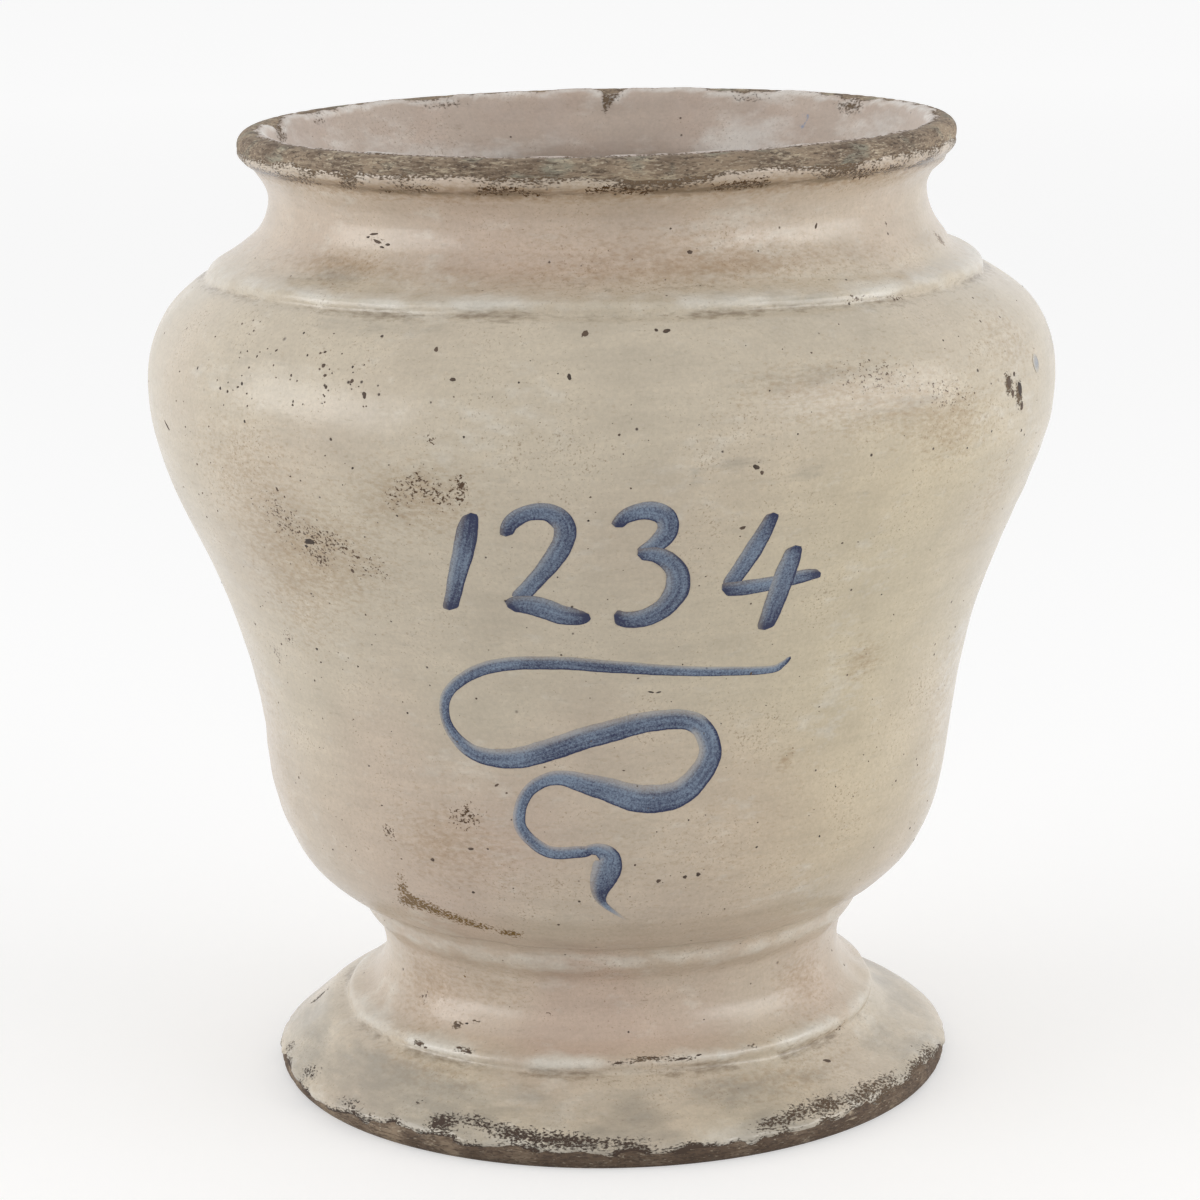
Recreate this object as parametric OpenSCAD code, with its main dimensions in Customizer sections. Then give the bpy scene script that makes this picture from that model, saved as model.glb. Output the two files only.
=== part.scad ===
// Footed jar of tin-glazed earthenware.
// A thrown body is luted with slip on to a thrown, hollow pedestal foot. White glaze coats the
// outside and the inside, and has worn off the rolled lip and the edge of the foot.
// Radii and heights are those of the fired clay, and the glaze lies on top of it.

/* [Jar body] */
// Height of the jar, from the table to the crest of the lip
jar_h = 141.3; // [139.5:0.1:151]
// Radius of the belly at its widest ring
belly_r = 65.3; // [60:0.1:72]
// Height of the belly's widest ring
belly_z = 104; // [100:0.5:106]
// Radius of the flank, where the lower wall stands most upright
flank_r = 50.4; // [46:0.1:54]
// Radius of the neck at its narrowest ring
neck_r = 47; // [43:0.1:49.5]
// Radius of the lip at its widest ring
lip_r = 51.6; // [50:0.1:56]
// Radius of the roll that forms the lip
lip_roll_r = 2.2; // [1.8:0.1:2.8]
// Thickness of the wall at the neck
neck_wall = 4; // [3:0.1:5.5]
// Thickness of the wall at the belly and the flank
belly_wall = 5; // [3.5:0.1:7]
// Thickness of the floor
floor_t = 6.5; // [4:0.1:10]

/* [Pedestal foot] */
// Height of the foot, up to the joint under the belly
foot_h = 26.8; // [25:0.1:30]
// Radius of the foot at its edge
foot_r = 50.2; // [46:0.1:56]
// Radius of the step ring on top of the foot
step_r = 39.2; // [37.5:0.1:41]
// Radius of the stem at its waist
waist_r = 33.5; // [30:0.1:35]
// Thickness of the stem's wall at the waist
stem_wall = 6.5; // [5:0.1:9]
// Width of the ring that the jar stands on
rest_w = 8; // [5:0.1:11]

/* [Slip and glaze] */
// Thickness of the slip bed between body and foot
slip_t = 0.8; // [0.4:0.1:1.5]
// Thickness of the glaze
glaze_t = 0.5; // [0.3:0.05:0.7]

/* [Hidden] */

$fn = 96;
// Points on each stretch of an outline, and on each rolled edge
curve_steps = 6;
arc_steps = 8;
// Share of the distance between two stations over which a curve keeps the lean of each
fullness = 0.35;
// Radius of the rounded ridges on the foot and at the shoulder, and the angle where each ends
ridge_r = 1;
ridge_top_angle = 66;
// Angles on the lip's roll where the outer glaze ends, the inner glaze ends and the throat starts
lip_glaze_angle = -45;
throat_glaze_angle = 135;
throat_angle = 168;

joint_z = foot_h + slip_t;
floor_z = joint_z + floor_t;

// A station on an outline is [radius, height, lean], with the lean in degrees from upright.
// Stations of the foot's outside, from the table up
edge_low = [foot_r - 1.1, 0, 55];
edge_nose = [foot_r, 2.2, 0];
foot_glaze_line = [foot_r - 1.5, 3.9, -45];
foot_slope = [foot_r - 6.2, 7, -54];
step_low = [step_r + 0.1, 10.4, -54];
step_ridge = [step_r - ridge_r, 10.9];
waist = [waist_r, 18.3, 0];
collar_low = [waist_r + 0.95, 22.4, 24];
collar_top = [waist_r + 3.1, foot_h, 12];

// Stations of the hollow under the foot, from the table up
rest_inner = [edge_low.x - rest_w, 0, -25];
hollow_low = [waist_r + 1.6, 8, -45];
hollow_waist = [waist_r - stem_wall, waist.y, 0];
hollow_top = [hollow_waist.x + 1.5, foot_h, 10];

// Stations of the body's outside, from the joint up
base_edge = [collar_top.x + 0.6, joint_z, 60];
heel = [flank_r - 4.2, joint_z + 8.4, 29];
flank = [flank_r, joint_z + 24.4, 6];
rise = [(flank_r + belly_r) / 2 - 1.1, belly_z - 26.5, 22];
belly = [belly_r, belly_z, 0];
shoulder = [belly_r - 2.7, jar_h - 28.3, -34];
shoulder_low = [neck_r + 9.4, jar_h - 22.6, -50];
shoulder_ridge = [neck_r + 8.2, jar_h - 22.1];
neck_slope = [neck_r + 2.8, jar_h - 17.2, -50];
neck = [neck_r, jar_h - 11.1, 0];
lip_roll = [lip_r - lip_roll_r, jar_h - lip_roll_r];
lip_under = [lip_roll.x + 0.4, lip_roll.y - lip_roll_r, 38];

// Stations of the body's inside, from the floor up
floor_edge = [flank_r - 22, floor_z, 90];
floor_heel = on_skin(heel, -belly_wall - 1);
throat = on_roll(lip_roll, lip_roll_r, throat_angle, 180 - throat_angle);

function point(station) = [station.x, station.y];

function reversed(path) = [for (i = [len(path) - 1:-1:0]) path[i]];

// The station on the far side of a skin that lies on the outline. A negative skin goes inwards.
function on_skin(station, skin) =
    [station.x + skin * cos(station.z), station.y - skin * sin(station.z), station.z];

// The station at an angle on a ridge or roll
function on_roll(centre, radius, angle, lean) =
    [centre.x + radius * cos(angle), centre.y + radius * sin(angle), lean];

// The angle on a ridge or roll where the straight run of a station below it meets the ridge
function meeting_angle(station, centre, radius) =
    let (square_to_run = [cos(station.z), -sin(station.z)])
    -station.z - acos((point(station) - centre) * square_to_run / radius);

// Bezier curve from station a to station b, which leaves and arrives at the stations' leans.
// The last point is left out, because the next stretch starts with it.
function curve(a, b) =
    let (reach = fullness * norm(point(b) - point(a)))
    let (leave = point(a) + reach * [sin(a.z), cos(a.z)])
    let (arrive = point(b) - reach * [sin(b.z), cos(b.z)])
    [for (i = [0:curve_steps - 1])
        let (t = i / curve_steps)
        let (u = 1 - t)
        u * u * u * point(a) + 3 * u * u * t * leave + 3 * u * t * t * arrive + t * t * t * point(b)];

// Curves through a row of stations, on the far side of a skin
function through(stations, skin) =
    [for (i = [0:len(stations) - 2])
        each curve(on_skin(stations[i], skin), on_skin(stations[i + 1], skin))];

// Arc about a centre, from one angle to another
function arc(centre, radius, from, to) =
    [for (i = [0:arc_steps])
        point(on_roll(centre, radius, from + (to - from) * i / arc_steps, 0))];

// Slope up to a ridge, the ridge itself, and the curves that go on from its top
function over_ridge(below, centre, above, skin) =
    let (radius = ridge_r + skin)
    let (low_angle = meeting_angle(on_skin(below[len(below) - 1], skin), centre, radius))
    let (top = on_roll(centre, ridge_r, ridge_top_angle, -ridge_top_angle))
    concat(
        through(below, skin),
        arc(centre, radius, low_angle, ridge_top_angle),
        through(concat([top], above), skin));

// Outside of the foot, from the line where its glaze ends up to the joint
function foot_outside(skin) =
    concat(
        over_ridge([foot_glaze_line, foot_slope, step_low], step_ridge, [waist, collar_low, collar_top], skin),
        [point(on_skin(collar_top, skin))]);

// Outside of the body, from the joint up to the line where its glaze ends on the lip
function body_outside(skin) =
    let (radius = lip_roll_r + skin)
    let (under_angle = meeting_angle(on_skin(lip_under, skin), lip_roll, radius))
    concat(
        over_ridge([base_edge, heel, flank, rise, belly, shoulder, shoulder_low],
            shoulder_ridge, [neck_slope, neck, lip_under], skin),
        arc(lip_roll, radius, under_angle, lip_glaze_angle));

// Inside of the body, from the middle of the floor up to the line where its glaze ends on the lip
function body_inside(skin) =
    concat(
        [[0, floor_z + skin]],
        through([floor_edge, floor_heel, on_skin(flank, -belly_wall), on_skin(rise, -belly_wall),
            on_skin(belly, -belly_wall), on_skin(shoulder, -belly_wall),
            on_skin(neck_slope, -neck_wall), on_skin(neck, -neck_wall), throat], -skin),
        arc(lip_roll, lip_roll_r + skin, throat_angle, throat_glaze_angle));

module jar_body()
    color("#b9a184")
    rotate_extrude()
    polygon(concat(
        [[0, joint_z]],
        body_outside(0),
        arc(lip_roll, lip_roll_r, lip_glaze_angle, throat_glaze_angle),
        reversed(body_inside(0))));

module pedestal_foot()
    color("#a98e70")
    rotate_extrude()
    polygon(concat(
        through([edge_low, edge_nose, foot_glaze_line], 0),
        foot_outside(0),
        [point(hollow_top)],
        reversed(through([rest_inner, hollow_low, hollow_waist, hollow_top], 0))));

module luting_slip()
    color("#c8b497")
    rotate_extrude()
    translate([hollow_top.x, foot_h])
    square([collar_top.x - hollow_top.x, slip_t]);

module outer_glaze()
    color("#e6dccb")
    rotate_extrude()
    polygon(concat(
        foot_outside(0),
        [[collar_top.x, joint_z]],
        body_outside(0),
        reversed(body_outside(glaze_t)),
        reversed(foot_outside(glaze_t))));

module inner_glaze()
    color("#e9dfd6")
    rotate_extrude()
    polygon(concat(body_inside(0), reversed(body_inside(glaze_t))));

jar_body();
pedestal_foot();
luting_slip();
outer_glaze();
inner_glaze();
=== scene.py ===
import math

import bpy
import numpy as np
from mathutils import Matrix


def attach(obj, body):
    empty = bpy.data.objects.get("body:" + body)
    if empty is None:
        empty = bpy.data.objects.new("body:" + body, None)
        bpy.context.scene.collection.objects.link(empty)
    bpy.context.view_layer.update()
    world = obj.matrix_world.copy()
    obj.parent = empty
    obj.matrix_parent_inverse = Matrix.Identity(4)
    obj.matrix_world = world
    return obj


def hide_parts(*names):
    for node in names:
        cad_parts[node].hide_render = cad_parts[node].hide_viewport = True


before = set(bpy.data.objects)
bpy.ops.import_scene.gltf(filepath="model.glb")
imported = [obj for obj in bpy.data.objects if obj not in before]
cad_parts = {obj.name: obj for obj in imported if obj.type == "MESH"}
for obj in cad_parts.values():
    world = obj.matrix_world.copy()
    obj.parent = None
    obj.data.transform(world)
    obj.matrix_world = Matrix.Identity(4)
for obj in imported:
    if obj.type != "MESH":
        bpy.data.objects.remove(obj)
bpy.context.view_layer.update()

MM = 0.001
TURN = 2 * math.pi

# Sizes of the fired clay in millimetres, as in the part's source.
# The lip slants, so its mean height is less than that of its highest point.
JAR_H = 140.4
BELLY_R, BELLY_Z, FLANK_R, NECK_R = 65.3, 104.0, 50.4, 47.0
LIP_R, LIP_ROLL_R = 51.6, 2.2
NECK_WALL, BELLY_WALL, FLOOR_T = 4.0, 5.0, 6.5
FOOT_H, FOOT_R, STEP_R, WAIST_R = 26.8, 50.2, 39.2, 33.5
STEM_WALL, REST_W = 6.5, 8.0
SLIP_T, GLAZE_T = 0.8, 0.5
RIDGE_R, RIDGE_TOP = 1.0, 66.0
STEP_RIDGE_START, SHOULDER_RIDGE_START, LIP_START, THROAT = -22.0, -17.0, -78.6, 168.0
JOINT_Z = FOOT_H + SLIP_T
FLOOR_Z = JOINT_Z + FLOOR_T
STEP_RIDGE = (STEP_R - RIDGE_R, 10.9)
SHOULDER_RIDGE = (NECK_R + 8.2, JAR_H - 20.8)
LIP_ROLL = (LIP_R - LIP_ROLL_R, JAR_H - LIP_ROLL_R)

# How far the lip of the hand-thrown jar is out of level
LIP_SLANT = math.tan(math.radians(0.15))
# Distance between an outline's points, and how far glaze and wear soften it, in millimetres
SPACING, SOFTENED = 0.2, 0.4


def heading(lean):
    """Unit step up an outline that leans by an angle in degrees from upright."""
    return np.array([math.sin(math.radians(lean)), math.cos(math.radians(lean))])


def run(stations, steps=24):
    """Outline through stations of radius, height and lean. Each stretch is a cubic Bezier curve
    that leaves and arrives at the stations' leans, with handles of 0.35 of the distance."""
    t = np.linspace(0, 1, steps, endpoint=False)[:, None]
    u = 1 - t
    stretches = []
    for a, b in zip(stations[:-1], stations[1:]):
        p, q = np.array(a[:2]), np.array(b[:2])
        reach = 0.35 * np.linalg.norm(q - p)
        leave, arrive = p + reach * heading(a[2]), q - reach * heading(b[2])
        stretches.append(u**3 * p + 3 * u * u * t * leave + 3 * u * t * t * arrive + t**3 * q)
    return np.concatenate(stretches + [[stations[-1][:2]]])


def roll(centre, radius, start, end, steps=24):
    """Arc of an outline about a centre, between two angles in degrees from level."""
    turn = np.radians(np.linspace(start, end, steps))
    return np.stack([centre[0] + radius * np.cos(turn), centre[1] + radius * np.sin(turn)], 1)


def ridge_end(centre):
    """Station where a ridge's arc ends and the next stretch starts."""
    return (*roll(centre, RIDGE_R, RIDGE_TOP, RIDGE_TOP, 1)[0], -RIDGE_TOP)


def inward(station, wall):
    """Station on the other face of a wall of that thickness."""
    lean = math.radians(station[2])
    return (station[0] - wall * math.cos(lean), station[1] + wall * math.sin(lean), station[2])


def settled(path, side):
    """Outline resampled at even steps and softened by a Gaussian. Columns are length, radius, height and
    the two parts of the normal, to the right of the way along the path for side 1 and to the left for -1."""
    steps = np.linalg.norm(np.diff(path, axis=0), axis=1)
    path = path[np.r_[True, steps > 1e-6]]
    length = np.r_[0, np.cumsum(np.linalg.norm(np.diff(path, axis=0), axis=1))]
    s = np.arange(0, length[-1], SPACING)
    even = np.stack([np.interp(s, length, path[:, k]) for k in (0, 1)], 1)
    reach = int(3 * SOFTENED / SPACING)
    weight = np.exp(-0.5 * (np.arange(-reach, reach + 1) * SPACING / SOFTENED) ** 2)
    weight /= weight.sum()
    padded = np.pad(even, ((reach, reach), (0, 0)), mode="reflect", reflect_type="odd")
    even = np.stack([np.convolve(padded[:, k], weight, "valid") for k in (0, 1)], 1)
    step = np.gradient(even, axis=0)
    step /= np.linalg.norm(step, axis=1, keepdims=True)
    return np.column_stack([s, even, side * step[:, 1], -side * step[:, 0]])


# Stations of the outline: radius, height, and lean in degrees from upright
heel = (FLANK_R - 4.2, JOINT_Z + 8.4, 29)
flank = (FLANK_R, JOINT_Z + 24.4, 6)
rise = ((FLANK_R + BELLY_R) / 2 - 1.1, BELLY_Z - 26.5, 22)
belly = (BELLY_R, BELLY_Z, 0)
shoulder = (BELLY_R - 2.7, JAR_H - 27, -34)
neck_slope = (NECK_R + 2.8, JAR_H - 15.9, -50)
neck = (NECK_R, JAR_H - 9.8, 0)
throat = (*roll(LIP_ROLL, LIP_ROLL_R, THROAT, THROAT, 1)[0], 180 - THROAT)
foot_edge = [(FOOT_R - 1.1, 0, 55), (FOOT_R, 2.2, 0), (FOOT_R - 1.5, 3.9, -45),
             (FOOT_R - 6.2, 7, -54), (STEP_R + 0.1, 10.4, -54)]
stem = [ridge_end(STEP_RIDGE), (WAIST_R, 18.3, 0), (WAIST_R + 0.95, 22.4, 24),
        (WAIST_R + 3.1, FOOT_H, 12)]
body = [(WAIST_R + 3.7, JOINT_Z, 60), heel, flank, rise, belly, shoulder,
        (NECK_R + 9.4, JAR_H - 21.3, -50)]
collar = [ridge_end(SHOULDER_RIDGE), neck_slope, neck,
          (LIP_ROLL[0] + 0.4, LIP_ROLL[1] - LIP_ROLL_R, 38)]
hollow = [(FOOT_R - 1.1 - REST_W, 0, -25), (WAIST_R + 1.6, 8, -45),
          (WAIST_R - STEM_WALL, 18.3, 0), (WAIST_R - STEM_WALL + 1.5, FOOT_H, 10)]
cavity = [(FLANK_R - 22, FLOOR_Z, 90), inward(heel, BELLY_WALL + 1),
          *(inward(station, BELLY_WALL) for station in (flank, rise, belly, shoulder)),
          *(inward(station, NECK_WALL) for station in (neck_slope, neck)), throat]

outside = settled(np.concatenate([
    run(foot_edge), roll(STEP_RIDGE, RIDGE_R, STEP_RIDGE_START, RIDGE_TOP), run(stem), run(body),
    roll(SHOULDER_RIDGE, RIDGE_R, SHOULDER_RIDGE_START, RIDGE_TOP), run(collar),
    roll(LIP_ROLL, LIP_ROLL_R, LIP_START, 100)]), 1)
inside = settled(np.concatenate([
    [[0, FLOOR_Z]], run(cavity), roll(LIP_ROLL, LIP_ROLL_R, THROAT, 80)]), -1)
underside = settled(run(hollow), -1)


def along(line, s, column):
    """Value of an outline's column at lengths s."""
    return np.interp(s, line[:, 0], line[:, column])


def length_at(height):
    """Length along the outside where it first reaches a height."""
    return outside[np.argmax(outside[:, 2] >= height), 0]


def turns(count):
    """Azimuths round the jar from the back, as a row. The painted front is at 0."""
    return np.linspace(-math.pi, math.pi, count, endpoint=False)[None, :]


def smooth(low, high, value):
    """Share from 0 to 1 that eases in and out between two values."""
    t = np.clip((value - low) / (high - low), 0, 1)
    return t * t * (3 - 2 * t)


def bell(value, middle, half):
    """Bell curve of a value: the exponential of minus its squared distance from the middle in half widths."""
    return np.exp(-((value - middle) / half) ** 2)


def band(z, height, below, above):
    """Bell curve of height with its own half widths below and above."""
    return bell(z, height, np.where(z < height, below, above))


def facing(az, turn, half):
    """Bell curve of the turn from an azimuth in radians, the same after a whole turn."""
    return np.exp(2 * (np.cos(az - turn) - 1) / half**2)


def triple(*parts):
    """Three values at each point as one field."""
    return np.stack(np.broadcast_arrays(*parts), -1)


def drift(az, s, seed, size, waves=28):
    """Cloudy field, mostly from -2 to 2, over azimuth and length: a sum of cosine waves of lengths
    about `size` mm in all directions, each with a whole number of turns round the jar."""
    rng = np.random.default_rng(seed)
    field = np.zeros(np.broadcast(az, s).shape)
    for _ in range(waves):
        way = rng.uniform(0, TURN)
        wavelength = size * rng.uniform(0.6, 1.7)
        whole = round(TURN * 50 * math.cos(way) / wavelength)
        rate = TURN * math.sin(way) / wavelength
        field += np.cos(whole * az + rate * s + rng.uniform(0, TURN))
    return field * math.sqrt(2 / waves)


def uneven(az, s, z):
    """Unevenness of the thrown wall in millimetres, never outwards: rings from the fingers that climb as
    a spiral, and slow swells. It fades out towards the resting ring and the lip."""
    rings = 0.045 * np.sin(TURN * s / 5.2 + az) * smooth(-0.6, 1.2, drift(az, s, 3, 60))
    swells = 0.09 * drift(az, s, 5, 42) + 0.04 * drift(az, s, 6, 13)
    return np.minimum(rings + swells - 0.2, 0) * smooth(1.5, 5, z) * smooth(139.5, 136, z)


def thrown(az, r, z):
    """Point of the turned jar in metres, pulled out of true by bell curves of height: the shoulder's ridge
    climbs towards the front left and the back, the step's ridge sags at the sides, both waver, shoulder and
    foot lean to the left, the foot's disc is lower and drawn in on the right, and the lip slants up to the
    right."""
    climb = (0.5 + 0.8 * np.cos(2 * az) + 0.95 * facing(az, -0.9, 0.7) + 0.14 * np.sin(5 * az + 2.0)
             + 0.1 * np.sin(9 * az + 4.1))
    sag = 0.35 * np.cos(2 * az) - 0.35 + 0.14 * np.sin(3 * az + 1.2) + 0.1 * np.sin(7 * az)
    rightward = 1 + np.sin(az)
    shift = 0.45 * bell(z, 120, 8) + 0.8 * bell(z, 9.2, 2)
    r = r - rightward * (0.45 * bell(z, 121.5, 3.5) + 0.35 * bell(z, 8.5, 2.5) + 0.25 * bell(z, 3.4, 2))
    z = (z + climb * bell(z, SHOULDER_RIDGE[1], 4.5) + sag * bell(z, STEP_RIDGE[1], 2.6)
         - 0.85 * np.sin(az) * bell(z, 8.2, 2.6) - 0.25 * rightward * bell(z, 6.8, 2.4))
    x, y = r * np.sin(az) - shift, -r * np.cos(az)
    z = z + x * LIP_SLANT * smooth(70, 140, z)
    return triple(x, y, z) * MM


# Mouldings pressed by the potter's fingers: height, amount outwards and half width in millimetres
MOULDINGS = [(10.0, -0.35, 0.8), (11.6, 0.2, 1.0), (13.4, -0.25, 1.6), (22.6, -0.35, 1.2), (25.4, 0.35, 1.6),
             (28.2, -0.4, 0.9), (119.0, -0.4, 0.7), (120.3, 0.2, 1.1), (122.3, -0.35, 1.8),
             (135.7, -0.15, 0.6)]
# Heights between which the shoulder's mouldings are pressed flat on the left
PRESSED_FLAT = (118, 125)


def moulded(az, s):
    """Depth of the mouldings at lengths along the outside: a sum of bell curves. On the left the shoulder's
    ridge is pressed flat, and on the right the lip is thicker."""
    flat = facing(az, -1.55, 0.55)
    low, high = PRESSED_FLAT
    depth = sum(amount * (1 - flat * (low < height < high)) * bell(s, length_at(height), half)
                for height, amount, half in MOULDINGS)
    pressed = flat * bell(s, length_at(SHOULDER_RIDGE[1] + 0.4), 1.3)
    thicker = facing(az, 1.5, 0.6) * bell(s, length_at(135), 1.5)
    return depth - 0.5 * pressed + 0.6 * thicker


def skin(line, az, s, thickness):
    """Points at a thickness above an outline of the clay, in metres. The outside is uneven and moulded."""
    z = along(line, s, 2)
    lift = thickness + (uneven(az, s, z) + moulded(az, s) if line is outside else 0)
    return thrown(az, along(line, s, 1) + along(line, s, 3) * lift, z + along(line, s, 4) * lift)


def spaced(line, start, end, count):
    """Lengths along an outline from start to end, closer together where the outline bends."""
    stride, crowding, sharpest = 0.1, 5.0, 0.6
    s = np.arange(start, end, stride)
    lean = np.unwrap(np.arctan2(along(line, s, 4), along(line, s, 3)))
    bend = np.minimum(np.abs(np.gradient(lean, stride)), sharpest)
    share = np.r_[0, np.cumsum(1 + crowding * bend[1:])]
    return np.interp(np.linspace(0, share[-1], count), share, s)


def mesh_piece(name, points, faces, fields, corners=None, body_slot=None, stands_for=()):
    """Object from points in metres, faces and point fields of three values each, smooth-shaded.
    It rides on the jar and stands for CAD nodes. Its body_slot is not used."""
    mesh = bpy.data.meshes.new(name)
    mesh.from_pydata(points.tolist(), [], faces)
    mesh.polygons.foreach_set("use_smooth", np.ones(len(mesh.polygons), bool))
    for field, values in fields.items():
        layer = mesh.attributes.new(field, "FLOAT_VECTOR", "POINT")
        layer.data.foreach_set("vector", np.asarray(values, np.float32).ravel())
    if corners is not None:
        mesh.uv_layers.new(name="OFBake").data.foreach_set("uv", corners.astype(np.float32).ravel())
    mesh.update()
    piece = bpy.data.objects.new(name, mesh)
    bpy.context.scene.collection.objects.link(piece)
    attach(piece, "root")
    if stands_for:
        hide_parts(*stands_for)
    return piece


def lathe(name, points, fields, poles=None, **kind):
    """Closed turned piece from rows of points round the axis. Each row joins the next, and the last column
    joins the first. The last row joins the first too, or else both end rows close on poles. The map runs
    round the jar and along the rows, with a margin that the poles' fans fill."""
    rows, columns = points.shape[:2]
    order = np.r_[0:rows, 0:poles is None]
    index = np.arange(rows * columns).reshape(rows, columns)[order]
    beside = np.roll(index, -1, 1)
    faces = np.stack([index[:-1], beside[:-1], beside[1:], index[1:]], -1).reshape(-1, 4).tolist()
    margin = 0.02
    column = np.arange(columns)[:, None]
    u = np.tile(column + np.array([0, 1, 1, 0]), (len(index) - 1, 1)) / columns
    steps = np.linalg.norm(np.diff(points[order], axis=0), axis=2).mean(1) + 1e-6
    v = np.r_[0, np.cumsum(steps)] / steps.sum() * (1 - 2 * margin) + margin
    v = np.repeat(np.stack([v[:-1], v[:-1], v[1:], v[1:]], 1), columns, axis=0)
    corners = [np.stack([u, v], -1).reshape(-1, 2)]
    flat = points.reshape(-1, 3)
    fields = {k: np.asarray(f).reshape(-1, 3) for k, f in fields.items()}
    if poles is not None:
        flat = np.concatenate([flat, poles])
        fields = {k: np.concatenate([f, [f[:columns].mean(0)] * 2]) for k, f in fields.items()}
        for row, way, edge, end in ((0, [2, 1, 0], margin, 0.0), (-1, [0, 1, 2], 1 - margin, 1.0)):
            tip = np.full(columns, rows * columns - row)
            faces += np.stack([index[row], beside[row], tip], 1)[:, way].tolist()
            fan_u = (column + np.array([0, 1, 0.5])) / columns
            fan = np.stack([fan_u, np.tile([edge, edge, end], (columns, 1))], -1)
            corners.append(fan[:, way].reshape(-1, 2))
    return mesh_piece(name, flat, faces, fields, np.concatenate(corners), **kind)


# Marks of use and firing: azimuth in degrees from the painted front, height, half width and half height in
# millimetres, and strength
GRIME = [(-16.4, 100.1, 0.9, 1.9, 1), (-18.7, 98.4, 4.4, 2.8, 0.65), (-21.9, 101.4, 2.8, 2.6, 0.55),
         (-24.8, 97.5, 2.6, 3.0, 0.5), (-36.5, 91.4, 3.6, 1.5, 0.5), (-38.6, 87.3, 2.6, 2.4, 0.6),
         (-34.5, 89.8, 3, 1.6, 0.42), (-30.5, 88.6, 3.8, 2, 0.46), (-28.5, 86.2, 3.4, 2.4, 0.5),
         (-33, 85.6, 3, 2, 0.42), (-42, 93, 5, 4, 0.3), (-20, 106.2, 2.2, 1.8, 0.7),
         (-53, 73.1, 2.4, 2.4, 0.8), (-58.7, 69.2, 1.6, 2.8, 0.75), (-51.6, 78.4, 1.2, 1, 0.7),
         (-44, 93.5, 6, 7, 0.45), (-23.2, 50.6, 3.8, 3.0, 0.92), (-38, 46.5, 1.8, 2, 0.9),
         (-42, 62, 2.5, 5, 0.55), (34, 111, 11, 3.5, 0.68), (46, 107, 8, 3.2, 0.66), (52, 92, 4, 5, 0.55),
         (60, 96, 4, 4, 0.55), (40, 71, 3, 2, 0.5), (-60, 99, 4, 5, 0.55), (-16.3, 16.9, 1.8, 0.8, 0.7),
         (-52.9, 15.5, 2.4, 1.6, 0.75), (58.8, 10.6, 1.8, 0.8, 0.7), (70, 20, 2, 4, 0.6),
         # The thin marks from height 119.2 to 122.4 follow the shoulder ridge's creases: dirt and partly
         # painted shade.
         (55.7, 128.3, 1.0, 2, 0.7), (-4, 122.2, 3, 0.3, 0.75), (6, 122.2, 4, 0.3, 0.8),
         (16, 122.4, 4, 0.35, 0.85), (38, 119.6, 4, 0.8, 0.8), (46, 119.2, 3, 0.8, 0.8)]
SMEAR = [(15, 102.2, 5, 0.7, 0.75), (23.5, 100.2, 2.6, 0.9, 0.8), (10.5, 101, 0.8, 1.4, 0.6),
         (-43.6, 123.2, 6, 1.6, 0.7), (30, 119.8, 9, 0.9, 0.7), (-30, 117.6, 10, 0.8, 0.5),
         (26, 112, 10, 1.2, 0.5), (39, 107.5, 8, 1.4, 0.45), (-50, 112, 6, 3, 0.35), (20, 7.5, 14, 1.4, 0.45),
         (-45, 8, 12, 1.6, 0.4)]
OLIVE = [(-37.5, 40, 1.2, 2.2, 0.5), (-38.6, 37.4, 1.5, 1.7, 0.44), (-36, 35.6, 2.6, 1.7, 0.48),
         (-33, 34.8, 2.6, 1.5, 0.5), (-29.1, 33.8, 2.6, 1.4, 0.58), (-24.9, 33, 2.6, 1.2, 0.62),
         (-19, 32, 2.6, 1, 0.74), (-39.5, 35, 2.2, 1.4, 0.52), (29.2, 58.2, 0.9, 1.5, 0.5),
         (74.6, 123.8, 1.8, 1.0, 0.9), (-38.6, 20.9, 0.6, 1.6, 0.5)]
WORN = [(-38.5, 128.4, 1.8, 0.8, 0.5), (-39.1, 13.8, 1.4, 0.5, 0.95), (-34.1, 14.6, 1.8, 0.35, 0.6),
        (-44.9, 11.2, 1.6, 0.55, 0.75), (-33, 11.6, 2.1, 0.4, 0.75), (57.6, 106.8, 1.2, 1.8, 1.1),
        (60.4, 105.0, 1.3, 2.2, 1.1), (1, 11.4, 3, 0.3, 0.6), (7, 11.7, 2.8, 0.3, 0.65),
        (14.3, 11.4, 3.8, 0.3, 0.7), (30.6, 11.8, 2, 0.45, 0.6), (-36.2, 5.6, 1.8, 0.4, 0.68),
        (-30.4, 4.1, 2.6, 0.95, 0.95), (-24.4, 4.9, 3.6, 0.9, 0.62), (-16.9, 4.0, 4.8, 1.2, 0.74),
        (-8, 3.7, 5, 1.2, 0.74), (2, 3.4, 5.5, 1, 0.68), (26, 3.8, 4.4, 1.1, 0.64), (32.7, 4.4, 4, 1.4, 0.58),
        (38.5, 4.4, 2.8, 1.5, 0.64), (44, 3.7, 3.4, 1.5, 0.58), (49, 4.3, 3, 1.6, 0.58),
        (55.1, 3.9, 3.4, 1.7, 0.64), (64, 3.5, 3.8, 1.7, 0.68), (72, 3.4, 4, 1.5, 0.7),
        (-66, 3.9, 3.6, 1.2, 0.66), (-80, 3.6, 3, 1.2, 0.64), (-50, 3.4, 5, 0.8, 0.6)]
POCKED = [(-41, 113.2, 11, 3, 1), (-30, 111.5, 5, 2.5, 0.8), (-58, 106, 5, 6, 0.5), (38, 63, 8, 10, 0.2)]
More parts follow.
